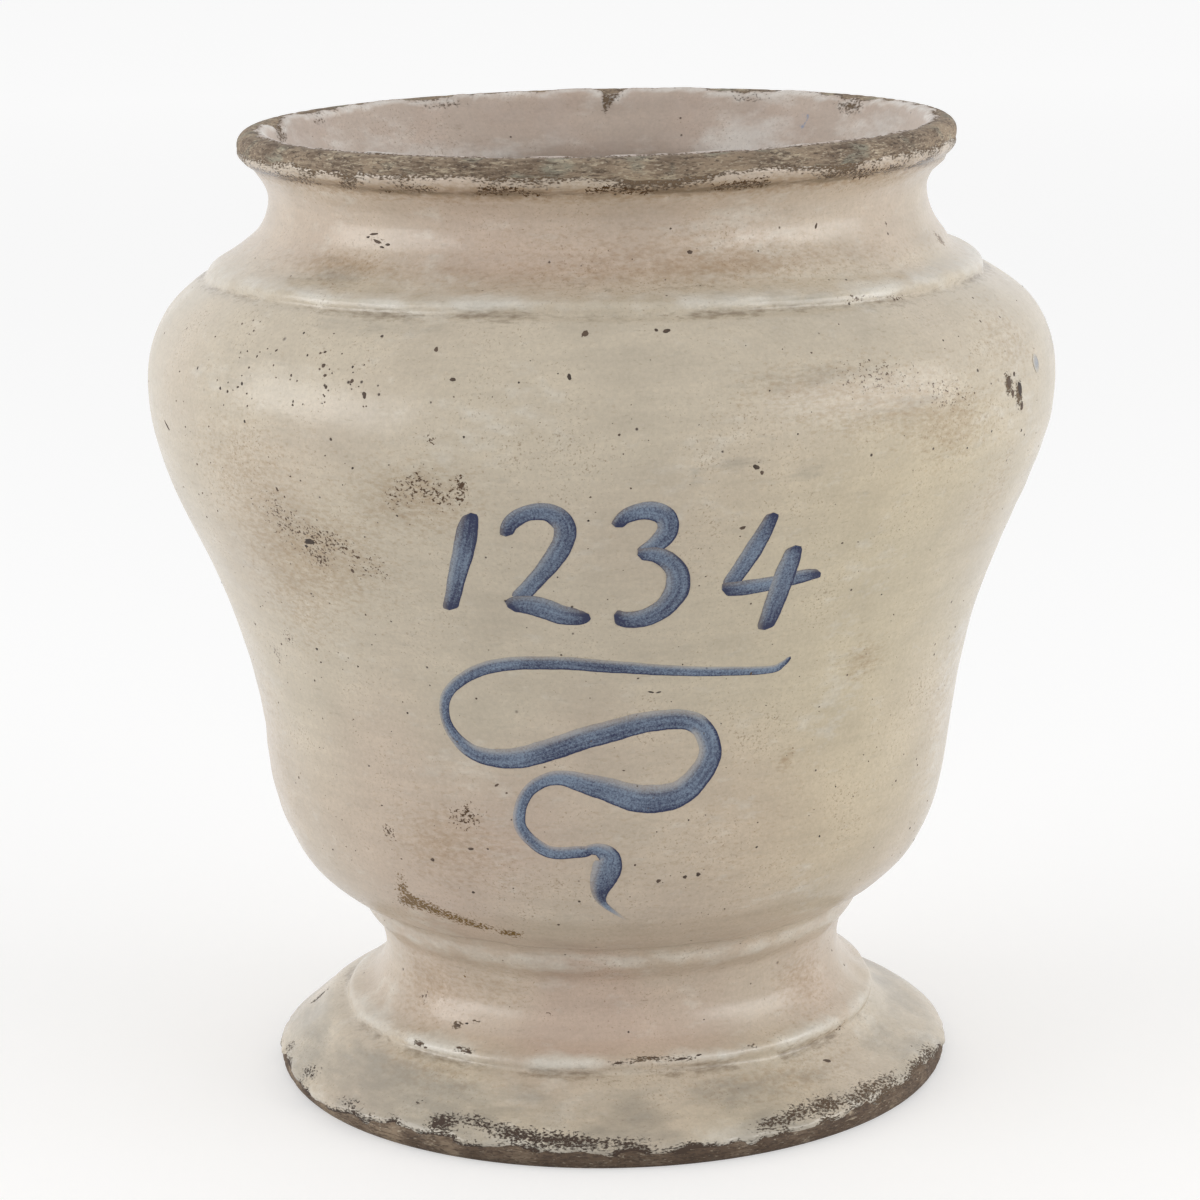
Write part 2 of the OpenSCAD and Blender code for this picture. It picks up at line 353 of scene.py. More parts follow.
RUBBED = [(34, 108.5, 13, 4.5, 0.9), (46, 103, 9, 5, 0.75), (22, 111, 8, 2.5, 0.5), (-38, 88, 12, 7, 0.9),
          (-22, 98, 9, 5, 0.9), (-48, 80, 9, 8, 0.6), (-48, 99, 12, 9, 0.55), (40, 70.3, 4, 3, 0.8),
          (58, 92, 6, 7, 0.5), (-27, 46, 8, 6, 0.7), (-44, 124.4, 7, 2.2, 1), (20, 125.5, 14, 2, 0.5),
          (62, 112, 8, 5, 0.6), (-30, 20, 6, 3, 0.5), (28, 57.4, 1.2, 1.7, 0.9), (-70, 60, 6, 12, 0.4),
          (66, 60, 6, 12, 0.35), (-40, 8, 12, 1.8, 0.75), (35, 8, 16, 1.8, 0.75), (-52, 17.5, 7, 5, 0.85),
          (54, 17.5, 7, 5, 0.75)]
# Marks inside the jar, of the same kind. The last list holds paler patches on the inner wall: painted
# reflections and painted highlight, partly paler clouds in the glaze.
INNER_WORN = [(-100, 138.2, 4, 1.6, 0.9), (-118, 138.6, 3, 1, 0.7), (125, 138.6, 5, 1.2, 0.9),
              (178, 138, 0.7, 2.2, 1), (176.5, 139, 1.4, 1, 0.9), (150, 139, 5, 0.8, 0.6),
              (-150, 139, 6, 0.7, 0.7), (-60, 139, 6, 0.8, 0.5), (70, 139, 6, 0.8, 0.6),
              (-165, 135, 1, 1, 0.4)]
INNER_BLUE = [(136.8, 137.0, 0.7, 0.5, 0.55), (135.7, 136.1, 0.6, 0.8, 0.62), (135.4, 134.8, 0.6, 0.9, 0.55)]
INNER_PAINTED_SHEEN = [(150, 132.5, 6, 3.5, 1), (142, 134, 5, 2.5, 0.7), (113, 136, 10, 3, 0.7),
              (-136, 133.5, 9, 3.2, 0.6), (-160, 131, 7, 1.8, 0.9), (-112, 136.5, 8, 2.4, 0.35),
              (175, 130, 8, 1.4, 0.6), (60, 90, 25, 14, 0.5), (-40, 70, 25, 16, 0.5), (170, 75, 22, 18, 0.5)]


def hidden_side(marks, seed, count, tall):
    """More marks like the given ones, drawn by chance for the back and sides, which no photo shows."""
    rng = np.random.default_rng(seed)
    more = []
    for _ in range(count):
        _, _, wide, high, strength = marks[rng.integers(len(marks))]
        more.append((rng.uniform(75, 285), rng.uniform(*tall), wide, high, strength * rng.uniform(0.6, 1)))
    return marks + more


GRIME = hidden_side(GRIME, 27, 16, (35, 118))
SMEAR = hidden_side(SMEAR, 22, 10, (95, 122))
OLIVE = hidden_side(OLIVE, 23, 6, (30, 60))
WORN = hidden_side(WORN, 24, 14, (3.5, 7.5))
POCKED = hidden_side(POCKED, 25, 4, (60, 116))
RUBBED = hidden_side(RUBBED, 26, 18, (36, 126))

# Bands round the jar: height, half width below and above, amount, and the least share that patches leave of
# it.
# CREASES hold dirt that settles in the creases and partly painted shade there. The other bands are paler
# glaze on
# the ridges and the collar: partly thicker glaze, partly painted highlight on their lit tops.
CREASES = [(28.3, 0.7, 0.7, 0.3, 0.35), (22.8, 1.0, 0.8, 0.1, 1), (10.1, 0.6, 0.7, 0.8, 0.2),
           (119.0, 0.7, 0.5, 0.85, 0.3), (122.2, 0.8, 1.6, 0.25, 0.3), (135.8, 0.5, 0.8, 1.1, 0.5)]
PALE_AND_HIGHLIT_BANDS = [(120.4, 1.0, 1.2, 0.95, 0.35), (11.4, 0.8, 1.0, 0.9, 0.3), (26.0, 2.2, 2.2, 0.45, 1)]


def blots(az, z, marks):
    """Sum of soft ovals, each the bell curve of its distance in half widths and half heights."""
    r = np.interp(z, outside[:, 2], outside[:, 1])
    total = np.zeros(np.broadcast(az, z).shape)
    for turn, height, wide, high, strength in marks:
        across = r * ((az - math.radians(turn) + math.pi) % TURN - math.pi)
        total += strength * np.exp(-((across / wide) ** 2) - ((z - height) / high) ** 2)
    return np.clip(total, 0, 1)


def broken_bands(z, bands, patchy):
    """Sum of bands round the jar, each broken up by patches down to its least share."""
    return sum(amount * band(z, height, below, above) * (least + (1 - least) * patchy)
               for height, below, above, amount, least in bands)


def glaze_fields(az, s, z, worn, rim=0.0):
    """Fields that the glaze's materials read. Dirt holds crease, which is dirt and partly painted shade,
    grime and worn-through; stain holds smear, olive stain and the share of pink; pits holds the share of
    pinholes and the darkening of worn glaze near the foot, which is partly painted shade; rub holds rubbed-in
    dust, the share of paler glaze, thicker on the ridges and at the rim and partly painted highlight, and the
    share of yellowed glaze."""
    patchy = smooth(-1.0, 1.2, drift(az, s, 11, 16))
    # Crease: dirt settled in the creases, and partly painted shade.
    crease = broken_bands(z, CREASES, patchy)
    # Paler bands on the ridges and the collar's bulge: partly thicker glaze, partly painted highlight.
    pale = broken_bands(z, PALE_AND_HIGHLIT_BANDS, patchy) + 0.3 * smooth(0.3, 1.8, drift(az, s, 17, 26)) + 0.45 * rim
    grime = (blots(az, z, GRIME) + 0.16 * smooth(0.2, 2.0, drift(az, s, 12, 22))
             + 1.1 * band(z, 136.2, 1.0, 1.2) * smooth(-1.4, 1.0, drift(az, s, 18, 9)))
    smear = blots(az, z, SMEAR) + 0.75 * smooth(9.5, 7.5, z) * smooth(-2.4, 1.4, drift(az, s, 13, 18))
    pink = (0.7 * smooth(120, 126, z) + 0.7 * smooth(74, 44, z) * smooth(10, 14, z)
            + 0.1 * smooth(36, 28, z) + 0.16 * drift(az, s, 14, 34)) * (0.5 + 0.5 * facing(az, -0.15, 0.8))
    # Worn glaze darkens towards the foot, less on the right: partly painted shade at the foot's edge.
    foot = smooth(11.5, 9.5, z) * (1 - 0.6 * facing(az, 0.9, 0.5))
    # Besides rubbed-in dust, this darkens the front of the neck, from about height 123 to 133.
    dust = (blots(az, z, RUBBED) + 1.3 * band(z, 136.0, 1.3, 1.2)
            + 0.42 * bell(z, 128, 5) * facing(az, 0.1, 0.6) + 0.25 * bell(z, 124, 2)
            + 0.25 * band(z, 44, 9, 14) * facing(az, 0.1, 0.7))
    yellowed = 0.5 * facing(az, 0.7, 0.45) * smooth(22, 45, z) * smooth(114, 96, z)
    return {"dirt": triple(crease, np.clip(grime, 0, 1), np.maximum(worn, blots(az, z, WORN))),
            "stain": triple(np.clip(smear, 0, 1), blots(az, z, OLIVE), np.clip(pink, 0, 1)),
            "pits": triple(blots(az, z, POCKED), foot, 0.0),
            "rub": triple(np.clip(dust, 0, 1), np.clip(pale, 0, 1), yellowed)}


def rounded(edge, width):
    """Thickness share of a coat whose edge rounds off over a width as a quarter circle, and which dips
    below the clay past its edge."""
    t = np.clip(edge / width, 0, 1)
    return np.where(edge > 0, np.sqrt(1 - (1 - t) ** 2), np.maximum(edge * 0.8, -0.84))


round_jar = turns(420)
# Depth of a coat's hidden skin under the clay's surface, and the length along the outside that is foot
BURIED, FOOT_LENGTH = -0.45, 30


def ragged(seed, size):
    """Wavering of a glaze's end round the jar, by patches of a size in millimetres."""
    return drift(round_jar, 0 * round_jar, seed, size)


def outer_coat():
    """Glaze over the outside: the clay's outline lifted by the glaze, whose lower and upper ends are ragged,
    and closed by a coarser skin just inside the clay."""
    start, end = 0.9, outside[-1, 0] - 1.2
    s = spaced(outside, start, end, 192)[:, None]
    z = along(outside, s, 2)
    chips = np.clip(blots(round_jar, np.full_like(round_jar, 3.6), WORN) - 0.4, 0, 1)
    foot_line = (length_at(2.2) + 0.35 * np.cos(round_jar) + 0.3 * ragged(31, 22)
                 + 0.16 * ragged(32, 4.5) + 1.2 * chips + 1.0 * facing(round_jar, 1.0, 0.4))
    lip_line = length_at(137.8) + 0.22 * ragged(33, 18) + 0.12 * ragged(34, 4.0)
    edge = np.minimum(s - foot_line, lip_line - s)
    on_foot = s < FOOT_LENGTH
    top = skin(outside, round_jar, s, GLAZE_T * rounded(edge, np.where(on_foot, 0.9, 2.4)))
    back = spaced(outside, start, end, 42)[::-1, None]
    under = skin(outside, round_jar, back, BURIED)
    away = np.clip(edge, 0, None)
    rubbed_thin = smooth(-1.0, 1.2, drift(round_jar, s, 35, 11))
    worn = np.where(on_foot, 0.5 * np.exp(-away / 0.5) + 0.6 * rubbed_thin * np.exp(-away / 1.6),
                    0.68 * np.exp(-away / 0.9) + 0.38 * rubbed_thin * band(z, 136.6, 0.9, 1.2))
    fields = glaze_fields(round_jar, s, z, worn, np.exp(-away / 1.3) * on_foot)
    plain = glaze_fields(round_jar, back, along(outside, back, 2), 0 * back)
    fields = {k: np.concatenate([fields[k], plain[k]]) for k in fields}
    return lathe("outer_glaze_coat", np.concatenate([top, under]), fields,
                 body_slot="tin_glaze", stands_for=["outer_glaze"])


def inner_coat():
    """Glaze over the inside: the cavity's outline lifted by the glaze up to a ragged line near the crest of
    the lip, and closed by a coarser skin just inside the clay."""
    crest = inside[-1, 0]
    s = spaced(inside, 2.0, crest - 0.2, 90)[::-1, None]
    z = along(inside, s, 2)
    lip_line = crest - 0.75 + 0.2 * ragged(36, 12) + 0.15 * ragged(37, 3.4)
    edge = lip_line - 1.5 * blots(round_jar, np.full_like(round_jar, 138.5), INNER_WORN) - s
    top = skin(inside, round_jar, s, GLAZE_T * rounded(edge, 1.8))
    back = spaced(inside, 2.0, crest - 0.2, 36)[:, None]
    under = skin(inside, round_jar, back, BURIED)
    worn = np.maximum(0.9 * np.exp(-np.clip(edge, 0, None) / 0.7), blots(round_jar, z, INNER_WORN))
    off_centre = smooth(4, 24, s)
    grime = 0.5 * off_centre * smooth(0.4, 1.8, drift(round_jar, s, 38, 12)) + 0.5 * smooth(44, 36, z)
    cloud = 0.4 + off_centre * (smooth(-1.2, 1.4, drift(round_jar, s, 39, 15)) - 0.4)
    # Paler glaze inside: painted reflections on the inner wall, and a painted highlight along the glaze's
    # edge at the crest.
    pale = np.maximum(blots(round_jar, z, INNER_PAINTED_SHEEN), bell(edge, 1.0, 0.5))
    pale = pale + 0.35 * off_centre * smooth(0.5, 1.8, drift(round_jar, s, 40, 18))
    rows = {"dirt": (0.2 * cloud, grime, worn),
            "stain": (0.5 * cloud, blots(round_jar, z, INNER_BLUE), 0.4 + 0.4 * cloud),
            "pits": (0.1 * cloud, 0.0, 0.0), "rub": (0.3 * cloud, np.clip(pale, 0, 1), 0.0)}
    fields = {k: np.concatenate([np.zeros(under.shape), triple(*v)]) for k, v in rows.items()}
    poles = thrown(np.zeros(2), np.zeros(2), np.array([FLOOR_Z + BURIED, FLOOR_Z + GLAZE_T]))
    return lathe("inner_glaze_coat", np.concatenate([under, top]), fields, poles,
                 body_slot="inside_glaze", stands_for=["inner_glaze"])


def clay_body():
    """Bare clay of the jar: out along its base, up its outside, over the lip, and down its inside to the
    middle of the floor. The lip is worn into fine hollows."""
    az = turns(400)
    joint, lip, crest = length_at(JOINT_Z), length_at(134), inside[-1, 0]
    up = np.r_[spaced(outside, joint, lip, 60)[:-1],
               spaced(outside, lip, outside[-1, 0] - 0.4, 30)][:, None]
    down = np.r_[spaced(inside, crest - 5, crest - 0.4, 14)[::-1],
                 spaced(inside, 3.0, crest - 5.5, 44)[::-1]][:, None]
    on_lip = smooth(134.5, 136, along(outside, up, 2))
    worn_off = -0.05 * on_lip * np.clip(drift(az, up, 51, 2.6) + 0.4 * drift(az, up, 52, 9), 0, None)
    base_r = np.array([[12.0], [24.0], [33.0]])
    base_z = np.full_like(base_r, JOINT_Z)
    shape = np.concatenate([thrown(az, base_r, base_z), skin(outside, az, up, worn_off),
                            skin(inside, az, down, 0)])
    z = np.concatenate([base_z, along(outside, up, 2), along(inside, down, 2)])
    s = np.concatenate([0 * base_r, up, up[-1] + crest - down])
    flecks = 0.26 + 0.14 * smooth(138.6, 137.2, z) + 0.08 * drift(az, s, 55, 6)
    green = smooth(0.3, 1.6, drift(az, s, 53, 7))
    fields = {"clay": triple(0.34 + 0.1 * drift(az, s, 54, 9), flecks, green)}
    poles = thrown(np.zeros(2), np.zeros(2), np.array([JOINT_Z, FLOOR_Z]))
    return lathe("jar_body_clay", shape, fields, poles, body_slot="earthenware", stands_for=["jar_body"])


def clay_foot():
    """Bare clay of the foot: up its outside from the resting ring, in across the joint, and down the hollow.
    Its edge is chipped."""
    az = turns(480)
    slope, top = length_at(8), length_at(FOOT_H)
    up = np.r_[np.linspace(0, slope, 34)[:-1], spaced(outside, slope, top, 24)][:, None]
    down = spaced(underside, 0, underside[-1, 0], 30)[::-1, None]
    height = along(outside, up, 2)
    chipped = -0.3 * smooth(0.5, 1.9, drift(az, up, 41, 6.5))
    chipped = chipped - 0.06 * np.clip(drift(az, up, 42, 2.4), 0, None)
    chipped = chipped * smooth(0.15, 1.2, height) * smooth(7.5, 5, height)
    shape = np.concatenate([skin(outside, az, up, chipped), skin(underside, az, down, 0)])
    z = np.concatenate([height, along(underside, down, 2)])
    s = np.concatenate([up, 60 + down])
    below = np.concatenate([0 * up, 1 + 0 * down])
    # The foot's bare clay is dark, less so at the left front: partly painted shade at the foot's edge.
    dark = (0.85 * (1 - 0.75 * below * smooth(0, 5, z)) - 0.4 * facing(az, -0.9, 0.6)
            - 0.1 * facing(az, 1.0, 0.5) + 0.12 * drift(az, s, 43, 8))
    flecks = 0.05 + 0.3 * smooth(0.8, 2.2, drift(az, s, 44, 5))
    return lathe("pedestal_foot_clay", shape, {"clay": triple(dark, flecks, 0.0)},
                 body_slot="earthenware", stands_for=["pedestal_foot"])


def slip_bed():
    """Ring of slip in the joint: a flattened oval section with squared ends, which bulges a little into the
    hollow where it was squeezed out."""
    az, turn = turns(240), turns(20).T
    inner, outer = WAIST_R - STEM_WALL + 1.5, WAIST_R + 3.1
    cosine, sine = np.cos(turn), np.sin(turn)
    r = (inner + outer) / 2 + (outer - inner) / 2 * np.sign(cosine) * np.abs(cosine) ** 0.3
    z = FOOT_H + SLIP_T / 2 * (1 + np.sign(sine) * np.abs(sine) ** 0.3)
    bulge = 0.35 * (1 + 0.4 * np.sin(6 * az) + 0.3 * np.sin(11 * az + 1)) * smooth(inner + 2, inner, r)
    return lathe("luting_slip_bed", thrown(az, r - bulge, z + 0 * az), {},
                 body_slot="slip", stands_for=["luting_slip"])


# Strokes of cobalt on the front, as points: x to the right of the axis, height and stroke width in
# millimetres, and how much paint the brush leaves there
NUMERALS = [
    [(-17.4, 96.2, 1.9, 0.85), (-17.9, 93.7, 2.8, 0.72), (-18.7, 90.3, 2.8, 0.5), (-19.6, 86.7, 2.4, 0.42),
     (-20.3, 83.7, 2.1, 0.6), (-20.8, 81.7, 2.1, 1)],
    [(-12.9, 93.0, 1.7, 0.75), (-12.2, 94.9, 2.1, 0.6), (-10.0, 96.3, 2.2, 0.45), (-7.2, 96.4, 2.5, 0.42),
     (-5.3, 94.7, 2.9, 0.5), (-5.5, 92.1, 2.9, 0.55), (-7.3, 89.1, 2.6, 0.46), (-9.7, 86.0, 2.3, 0.4),
     (-11.7, 83.7, 2.2, 0.5)],
    [(-13.0, 82.5, 2.3, 0.9), (-11.3, 83.0, 2.6, 0.5), (-8.6, 82.6, 2.9, 0.4), (-5.9, 81.6, 2.8, 0.45),
     (-3.6, 81.3, 2.3, 0.7), (-2.3, 81.7, 1.5, 1)],
    [(1.4, 94.3, 1.6, 0.8), (2.9, 95.8, 2.0, 0.55), (5.7, 96.4, 2.4, 0.42), (7.9, 95.4, 2.8, 0.5),
     (8.1, 93.3, 2.8, 0.5), (6.4, 91.5, 2.2, 0.46), (4.5, 90.4, 1.6, 0.6)],
    [(4.2, 90.3, 1.4, 0.6), (6.9, 90.1, 2.2, 0.45), (9.1, 88.1, 2.9, 0.48), (9.4, 85.2, 3.2, 0.5),
     (7.7, 82.4, 2.9, 0.46), (4.9, 80.9, 2.5, 0.5), (2.4, 80.8, 2.3, 0.75), (1.0, 81.5, 1.9, 1)],
    [(22.1, 95.0, 1.6, 0.75), (20.7, 91.9, 2.3, 0.5), (18.5, 88.2, 2.4, 0.44), (16.2, 84.8, 2.2, 0.5)],
    [(15.3, 84.4, 2.0, 0.75), (18.5, 84.4, 2.1, 0.5), (22.1, 84.7, 2.0, 0.42), (26.1, 85.2, 1.9, 0.5),
     (28.7, 85.3, 1.3, 0.8)],
    [(25.1, 89.9, 2.0, 0.6), (24.2, 87.0, 2.7, 0.5), (22.9, 83.2, 2.8, 0.44), (21.7, 79.6, 2.5, 0.75),
     (21.1, 77.7, 2.1, 1)],
]
FLOURISH = [
    [(24.7, 73.1, 0.5, 0.5), (23.6, 72.1, 0.9, 0.5), (21.4, 71.5, 1.2, 0.4), (11.4, 72.4, 1.5, 0.42),
     (1.7, 73.5, 1.8, 0.62), (-8, 74.3, 2, 0.6), (-16.1, 73.2, 1.9, 0.5), (-21.4, 69.2, 1.5, 0.5),
     (-21.8, 64.1, 1.4, 0.56), (-18.1, 60.1, 2.3, 0.5), (-12, 59.9, 3.1, 0.52), (-2.9, 63, 3.3, 0.56),
     (6, 65.2, 3.1, 0.56), (11.9, 64.4, 2.9, 0.46), (13.7, 59.7, 3.1, 0.46), (10.4, 54.8, 3.7, 0.54),
     (5, 53.7, 4.1, 0.5), (-1.3, 55.6, 3.3, 0.44), (-7.1, 57, 2.1, 0.4), (-11.2, 54.7, 1.7, 0.46),
     (-12.3, 49.7, 1.7, 0.46), (-8.7, 46.2, 1.8, 0.42), (-4.2, 46.2, 1.7, 0.5), (-2.7, 46.6, 1.5, 0.56)],
    [(-3.4, 46.4, 1.3, 0.5), (-1.7, 46.5, 1.9, 0.46), (-0.3, 45.4, 3.1, 0.4), (-0.6, 43.5, 4.1, 0.36),
     (-1.3, 41.6, 3.4, 0.5), (-1.6, 40.1, 2.4, 0.8), (-1.4, 38.7, 1.3, 0.8), (-0.6, 37.6, 0.8, 0.28),
     (0.8, 36.4, 0.5, 0.12), (2.1, 35.4, 0.3, 0.03)],
    [(59.9, 109.2, 0.5, 0.05), (60.3, 107.9, 0.9, 0.15), (60.6, 106.6, 0.5, 0.05)],
]
# Height of the paint above the glaze, what each stroke adds to it, and where that starts again
PAINT_LIFT, PAINT_STEP, PAINT_MOST = 0.022, 0.012, 0.06
# Places across a stroke, from edge to edge
ACROSS = np.array([[-1, -0.95, -0.88, -0.76, -0.55, -0.3, 0, 0.3, 0.55, 0.76, 0.88, 0.95, 1]])
# Stretch of the outside that strokes are painted on
body_rows = outside[(outside[:, 0] > length_at(JOINT_Z))
                    & (outside[:, 0] < length_at(BELLY_Z + 12))]


def flowing(points, spacing=0.3):
    """Catmull-Rom curve through points, resampled evenly. Widths run along with the places."""
    p = np.array(points, float)
    p = np.concatenate([[2 * p[0] - p[1]], p, [2 * p[-1] - p[-2]]])
    a, b, c, d = p[:-3, None], p[1:-2, None], p[2:-1, None], p[3:, None]
    t = np.linspace(0, 1, 24, endpoint=False)[None, :, None]
    fine = 0.5 * (2 * b + (c - a) * t + (2 * a - 5 * b + 4 * c - d) * t**2
                  + (3 * b - a - 3 * c + d) * t**3)
    fine = np.concatenate([fine.reshape(-1, p.shape[1]), p[-2:-1]])
    length = np.r_[0, np.cumsum(np.linalg.norm(np.diff(fine[:, :2], axis=0), axis=1))]
    s = np.linspace(0, length[-1], int(length[-1] / spacing) + 2)
    return s, np.stack([np.interp(s, length, fine[:, k]) for k in range(p.shape[1])], 1)


def on_front(x, z, lift):
    """Place on the painted front above a point seen straight from the front, with the glaze's fields."""
    s = np.interp(z, body_rows[:, 2], body_rows[:, 0])
    az = np.arcsin(np.clip(x / (along(outside, s, 1) + GLAZE_T), -1, 1))
    return skin(outside, az, s, GLAZE_T + lift), glaze_fields(az, s, z, 0 * z)


def brushed(name, strokes, soft):
    """Painted strokes as thin closed ribbons on the glaze. Each follows its curve, with blunt slanting ends,
    a width that wavers a little, and later strokes lying over earlier ones. The brush leaned to the lower
    right: the paint is deepest along that edge and fades out towards the other by the soft share."""
    points, faces, start = [], [], 0
    fields = {key: [] for key in ("dirt", "stain", "pits", "rub", "stroke", "paint")}
    for number, stroke in enumerate(strokes):
        s, curve = flowing(stroke)
        rows = len(s)
        step = np.gradient(curve[:, :2], axis=0)
        step /= np.linalg.norm(step, axis=1, keepdims=True)
        half = curve[:, 2] / 2
        from_end = np.minimum(s, s[-1] - s)
        tip = np.clip(1 - (1 - np.clip(from_end / (0.85 * half), 0, 1)) ** 2.4, 0.002, 1) ** (1 / 2.4)
        rng = np.random.default_rng(70 + number + len(strokes))
        phase = rng.uniform(0, TURN, 6)
        waver = [(1 + 0.022 * np.sin(s * 0.9 + phase[k]) + 0.014 * np.sin(s * 2.3 + phase[k + 1])
                  + 0.008 * np.sin(s * 6.1 + phase[k + 2]))[:, None] for k in (0, 3)]
        reach = (half * tip)[:, None] * ACROSS * np.where(ACROSS < 0, *waver)
        slant = 0.45 * reach * np.exp(-from_end / 1.2)[:, None]
        x = curve[:, :1] + reach * step[:, 1:] + slant * step[:, :1]
        z = curve[:, 1:2] - reach * step[:, :1] + slant * step[:, 1:]
        top, marks = on_front(x, z, PAINT_LIFT + PAINT_STEP * number % PAINT_MOST)
        low, _ = on_front(x, z, -0.1)
        load = curve[:, 3:]
        off_middle = np.abs(ACROSS)
        lower = np.sign(ACROSS) * (0.75 * step[:, 1:] + 0.66 * step[:, :1])
        crisp = smooth(-0.3, 0.3, lower)
        rims = (0.38 + 0.3 * crisp) * (1 - soft * (1 - crisp)) * bell(off_middle, 1, 0.14)
        ends = (1 - soft) * 0.5 * bell(from_end[:, None], 0, 0.8)
        depth = (load + 0.15 - 0.2 * soft + 0.06 * np.sin(s * 0.71 + phase[1])[:, None] + rims + ends
                 + 0.12 * lower * off_middle - 0.3 * soft * (1 - crisp) * smooth(0.3, 1, off_middle))
        cover = smooth(0, 0.24, load) * (1 - soft * (1 - crisp) * smooth(0.15, 1, off_middle))
        marks["stroke"] = triple(s[:, None] + 40 * number, reach, 0.0)
        marks["paint"] = triple(depth, cover, 0.0)
        grid = start + np.arange(rows * ACROSS.size).reshape(rows, -1)
        rim = np.r_[grid[:, 0], grid[-1, 1:], grid[-2::-1, -1], grid[0, -2:0:-1]]
        rim_low = rim + grid.size
        quads = np.stack([grid[:-1, :-1], grid[:-1, 1:], grid[1:, 1:], grid[1:, :-1]], -1).reshape(-1, 4)
        walls = np.stack([rim, np.roll(rim, -1), np.roll(rim_low, -1), rim_low], 1)
        faces += np.concatenate([quads, quads[:, ::-1] + grid.size, walls]).tolist()
        points += [top.reshape(-1, 3), low.reshape(-1, 3)]
        for key, values in marks.items():
            fields[key] += [values.reshape(-1, 3)] * 2
        start += 2 * grid.size
    fields = {k: np.concatenate(v) for k, v in fields.items()}
    piece = mesh_piece(name, np.concatenate(points), faces, fields, body_slot="cobalt_paint")
    piece.data.set_sharp_from_angle(angle=math.radians(35))
    return piece


# Pinholes and small chips seen on the glaze: azimuth in degrees, height, width and height in millimetres,
# and turn in degrees
SEEN_FLAWS = [(-35.4, 113.6, 0.8, 0.8, 0), (-30.7, 112.2, 0.9, 0.7, 20), (-28.6, 110.7, 0.9, 1.2, 30),
              (-20.3, 115.7, 0.8, 0.9, 10), (-17.5, 112.9, 1.1, 0.7, 5), (-3.6, 113.3, 0.8, 1.0, 0),
              (-1.6, 117.2, 1.0, 1.5, -30), (8.7, 117.3, 1.5, 0.8, 10), (7.4, 117.4, 0.7, 0.6, 0),
              (14.7, 127.2, 1.2, 0.8, 0), (38.1, 129.2, 0.6, 1.2, -30), (-39.4, 129.3, 2.0, 0.55, 10),
              (-38.4, 128.3, 2.3, 0.6, -20), (-36.1, 128.0, 1.1, 0.6, 0), (-40.6, 128.8, 0.8, 0.5, 20),
              (-37.2, 127.6, 1.2, 0.45, -10), (-39.3, 89.8, 2.4, 1.4, 15), (-40.2, 89.0, 0.8, 0.6, 0),
              (-30.0, 43.3, 0.9, 0.8, 0), (-23.5, 38.9, 0.7, 0.6, 0), (7.6, 41.5, 0.9, 0.8, 0),
              (11.9, 41.8, 0.8, 0.8, 0), (14.1, 42.0, 0.8, 1.0, 0), (48.6, 8.2, 1.8, 1.0, -25),
              (6.1, 69.6, 1.3, 0.35, -14), (7.2, 69.5, 1.2, 0.3, 12), (20.6, 71.2, 0.5, 0.8, 0),
              (-17.4, 55.6, 0.9, 0.5, 30), (-22.6, 45.8, 1.2, 0.6, 10), (5.4, 90.0, 0.7, 0.7, 0),
              (4.9, 91.6, 0.6, 0.7, 0), (9.2, 88.6, 0.8, 0.8, 0), (16.4, 93.2, 1.2, 0.7, 15),
              (17.6, 101.4, 1.4, 0.9, -20), (18.3, 100.6, 0.7, 0.8, 0), (57.9, 107.0, 1.6, 2.2, 10),
              (58.6, 105.4, 1.2, 1.6, -20), (60.8, 105.6, 1.7, 3.0, 5), (61.2, 103.2, 1.2, 1.8, 0),
              (59.6, 107.8, 0.9, 0.9, 0), (-68, 101.6, 3.4, 0.5, -25), (-44.9, 11.2, 1.6, 0.6, 5),
              (-42.8, 11.0, 0.9, 0.5, 0), (-39.1, 13.8, 1.9, 0.7, 0), (-36.6, 14.2, 0.9, 0.4, 0),
              (-34.4, 11.7, 1.2, 0.45, 0), (-31.6, 11.5, 1.3, 0.4, 0), (1.0, 11.4, 1.6, 0.3, 2),
              (8.4, 11.7, 1.8, 0.3, 0), (14.3, 11.4, 2.0, 0.3, 0), (18.0, 11.6, 1.2, 0.3, 0),
              (-42.4, 96.9, 0.6, 0.9, 20), (-33.7, 86.2, 0.7, 1.0, 20), (-46.3, 72.5, 0.8, 0.6, 0)]
# Clusters of pinholes drawn by chance: number, and from and to of azimuth, height and size
CHANCE_FLAWS = [(56, (-54, -28), (108.5, 117), (0.3, 0.75)), (230, (-65, 65), (34, 118), (0.2, 0.5)),
                (260, (60, 300), (14, 132), (0.2, 0.7)), (50, (-62, -30), (66, 108), (0.22, 0.6)),
                (40, (-60, 60), (12, 132), (0.2, 0.45))]
FLAW_SEGMENTS = 12


def chance_flaws():
    """Pinholes drawn by chance: a cluster on the left of the shoulder, some round the painting, and a thin
    scatter over the whole jar. Most are small."""
    rng = np.random.default_rng(88)
    rows = []
    for count, azimuths, heights, sizes in CHANCE_FLAWS:
        size = sizes[0] + (sizes[1] - sizes[0]) * rng.random(count) ** 2.2
        rows.append(np.stack([rng.uniform(*azimuths, count), rng.uniform(*heights, count), size,
                              size * rng.uniform(0.6, 1.1, count), rng.uniform(-40, 40, count)], 1))
    return np.concatenate(rows)


